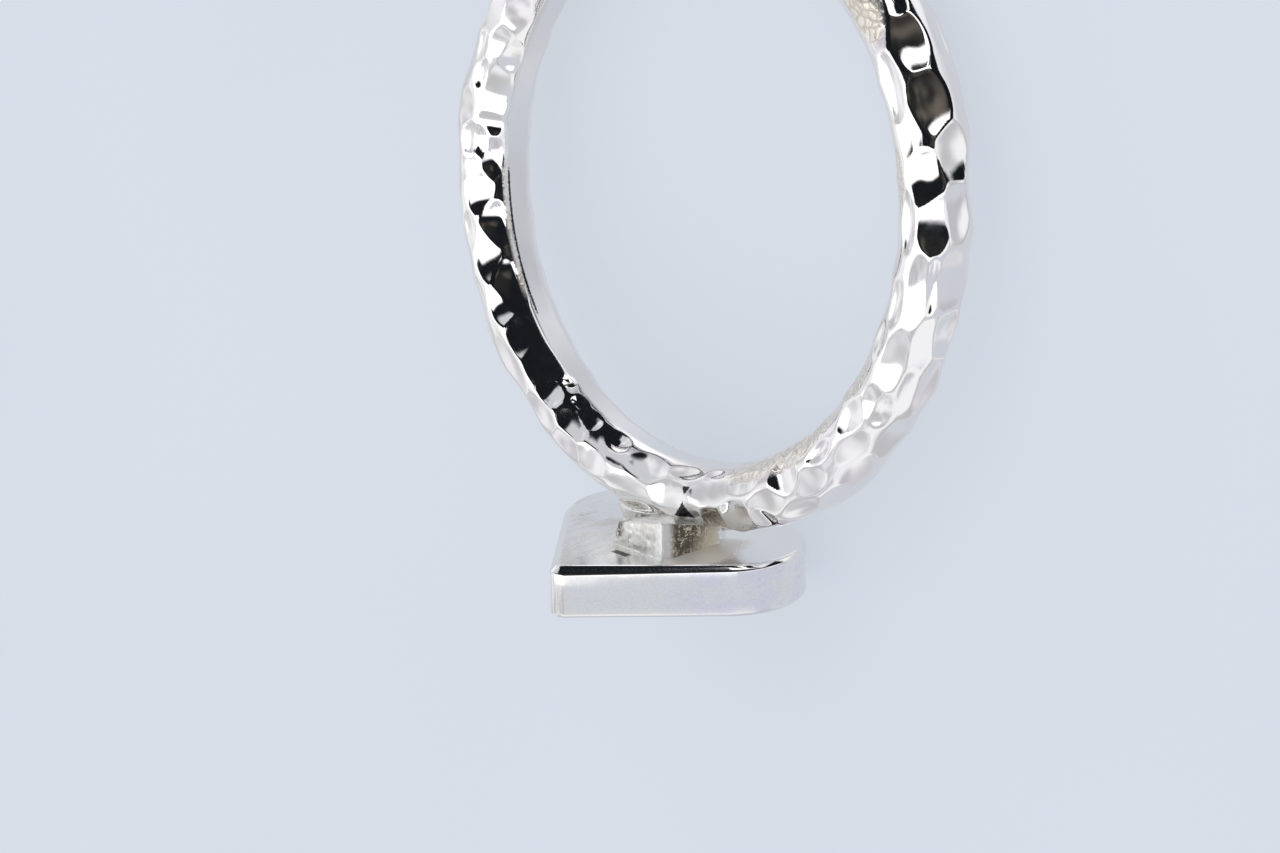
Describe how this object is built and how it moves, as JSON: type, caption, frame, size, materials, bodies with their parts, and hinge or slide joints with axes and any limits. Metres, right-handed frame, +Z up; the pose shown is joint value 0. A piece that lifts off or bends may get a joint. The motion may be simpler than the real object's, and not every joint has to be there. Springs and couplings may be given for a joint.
{
  "type": "heart ring",
  "caption": "Finger ring: a hammered silver band, smooth inside, soldered by a squared neck to the back of a small flat heart plate.",
  "frame": {"origin": "centre of the bounding box, on the surface that the ring lies on", "axes": "+Z up, -Y the way the heart's face looks, +X to the right seen from in front of the heart's face"},
  "size_m": [0.0212, 0.0232, 0.0081],
  "materials": {
    "silver": "polished and hammered silver, satin on the heart's back, with faint solder stains"
  },
  "bodies": {
    "root": {"heart_ring": "silver"}
  },
  "joints": []
}
